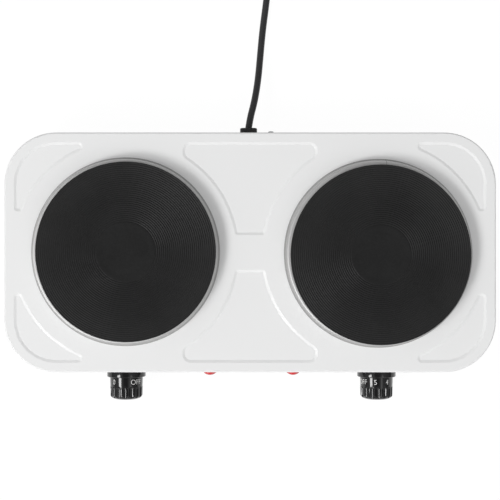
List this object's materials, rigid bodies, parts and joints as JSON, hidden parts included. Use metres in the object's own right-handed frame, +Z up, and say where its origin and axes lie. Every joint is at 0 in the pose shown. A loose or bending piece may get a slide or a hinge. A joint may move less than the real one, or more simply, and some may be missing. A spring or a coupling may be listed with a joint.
{
  "type": "electric hot plate",
  "caption": "Table-top electric hot plate: white pressed-steel housing, cast-iron plates in bright trim rings, thermostat knobs and red pilot lamps in front, mains cord behind.",
  "frame": {"origin": "on the table, under the middle of the appliance from the knob fronts to the gland's outer face, without its cord", "axes": "+X along the length to the user's right, +Y to the back, +Z up"},
  "size_m": [0.496, 0.5406, 0.077],
  "materials": {
    "white_enamel": "smooth satin white enamel on pressed steel",
    "plate_iron": "matt black cast iron with fine turned rings",
    "trim_steel": "bright rolled stainless trim",
    "zinc_steel": "zinc-plated steel sheet and fixings",
    "sheath_steel": "dull element sheath",
    "knob_black": "glossy black thermoset moulding",
    "lamp_red": "clear red moulded lens",
    "bulb_glass": "clear glow bulb",
    "foot_rubber": "matt black rubber",
    "ceramic_white": "unglazed white ceramic",
    "fibre_pad": "pressed mineral insulation",
    "brass_bare": "turned brass",
    "cord_black": "satin black sheath",
    "nylon_black": "matt black nylon",
    "lead_brown": "brown insulation",
    "lead_blue": "blue insulation",
    "lead_white": "white heat-proof sleeve",
    "pin_nickel": "nickel-plated contact"
  },
  "bodies": {
    "housing": {"top_shell": "white_enamel", "base_plate": "zinc_steel", "foot_front_left": "foot_rubber", "foot_front_right": "foot_rubber", "foot_rear_left": "foot_rubber", "foot_rear_right": "foot_rubber", "foot_screws": "zinc_steel", "base_screws": "zinc_steel", "terminal_beads": "ceramic_white", "plate_studs": "zinc_steel", "clamp_washers": "zinc_steel", "clamp_nuts": "zinc_steel", "thermostat_tabs": "brass_bare", "thermostat_screws": "zinc_steel", "lamp_bulbs": "bulb_glass", "lamp_clips": "zinc_steel", "cord_gland": "nylon_black", "cord_inner_end": "cord_black", "terminal_block": "ceramic_white", "terminal_screws": "zinc_steel", "earth_screw": "zinc_steel", "earth_nut": "zinc_steel", "earth_tag": "brass_bare", "live_leads": "lead_brown", "load_leads": "lead_white", "neutral_leads": "lead_blue", "lamp_leads": "lead_white", "cord_cores": "lead_brown", "mains_cord": "cord_black", "cord_coil": "cord_black", "cord_tail": "cord_black", "cord_tie": "nylon_black", "plug_body": "nylon_black", "plug_pins": "pin_nickel", "plug_earth_strips": "pin_nickel", "left_plate": "plate_iron", "left_trim_ring": "trim_steel", "left_element": "sheath_steel", "left_insulation_pad": "fibre_pad", "left_element_cover": "zinc_steel", "left_clamp_bar": "zinc_steel", "left_thermostat": "ceramic_white", "left_thermostat_bracket": "zinc_steel", "left_shaft_bush": "brass_bare", "left_lamp_lens": "lamp_red", "right_plate": "plate_iron", "right_trim_ring": "trim_steel", "right_element": "sheath_steel", "right_insulation_pad": "fibre_pad", "right_element_cover": "zinc_steel", "right_clamp_bar": "zinc_steel", "right_thermostat": "ceramic_white", "right_thermostat_bracket": "zinc_steel", "right_shaft_bush": "brass_bare", "right_lamp_lens": "lamp_red"},
    "left_control": {"left_knob": "knob_black", "left_shaft": "zinc_steel"},
    "right_control": {"right_knob": "knob_black", "right_shaft": "zinc_steel"}
  },
  "joints": [
    {"name": "left_knob_turn", "type": "hinge", "parent": "housing", "child": "left_control", "pos_m": [-0.1275, -0.11332, 0.034], "axis": [0, 1, 0], "range_deg": [-42.5, 265]},
    {"name": "right_knob_turn", "type": "hinge", "parent": "housing", "child": "right_control", "pos_m": [0.1303, -0.11332, 0.034], "axis": [0, 1, 0], "range_deg": [-298, 9.5]}
  ]
}
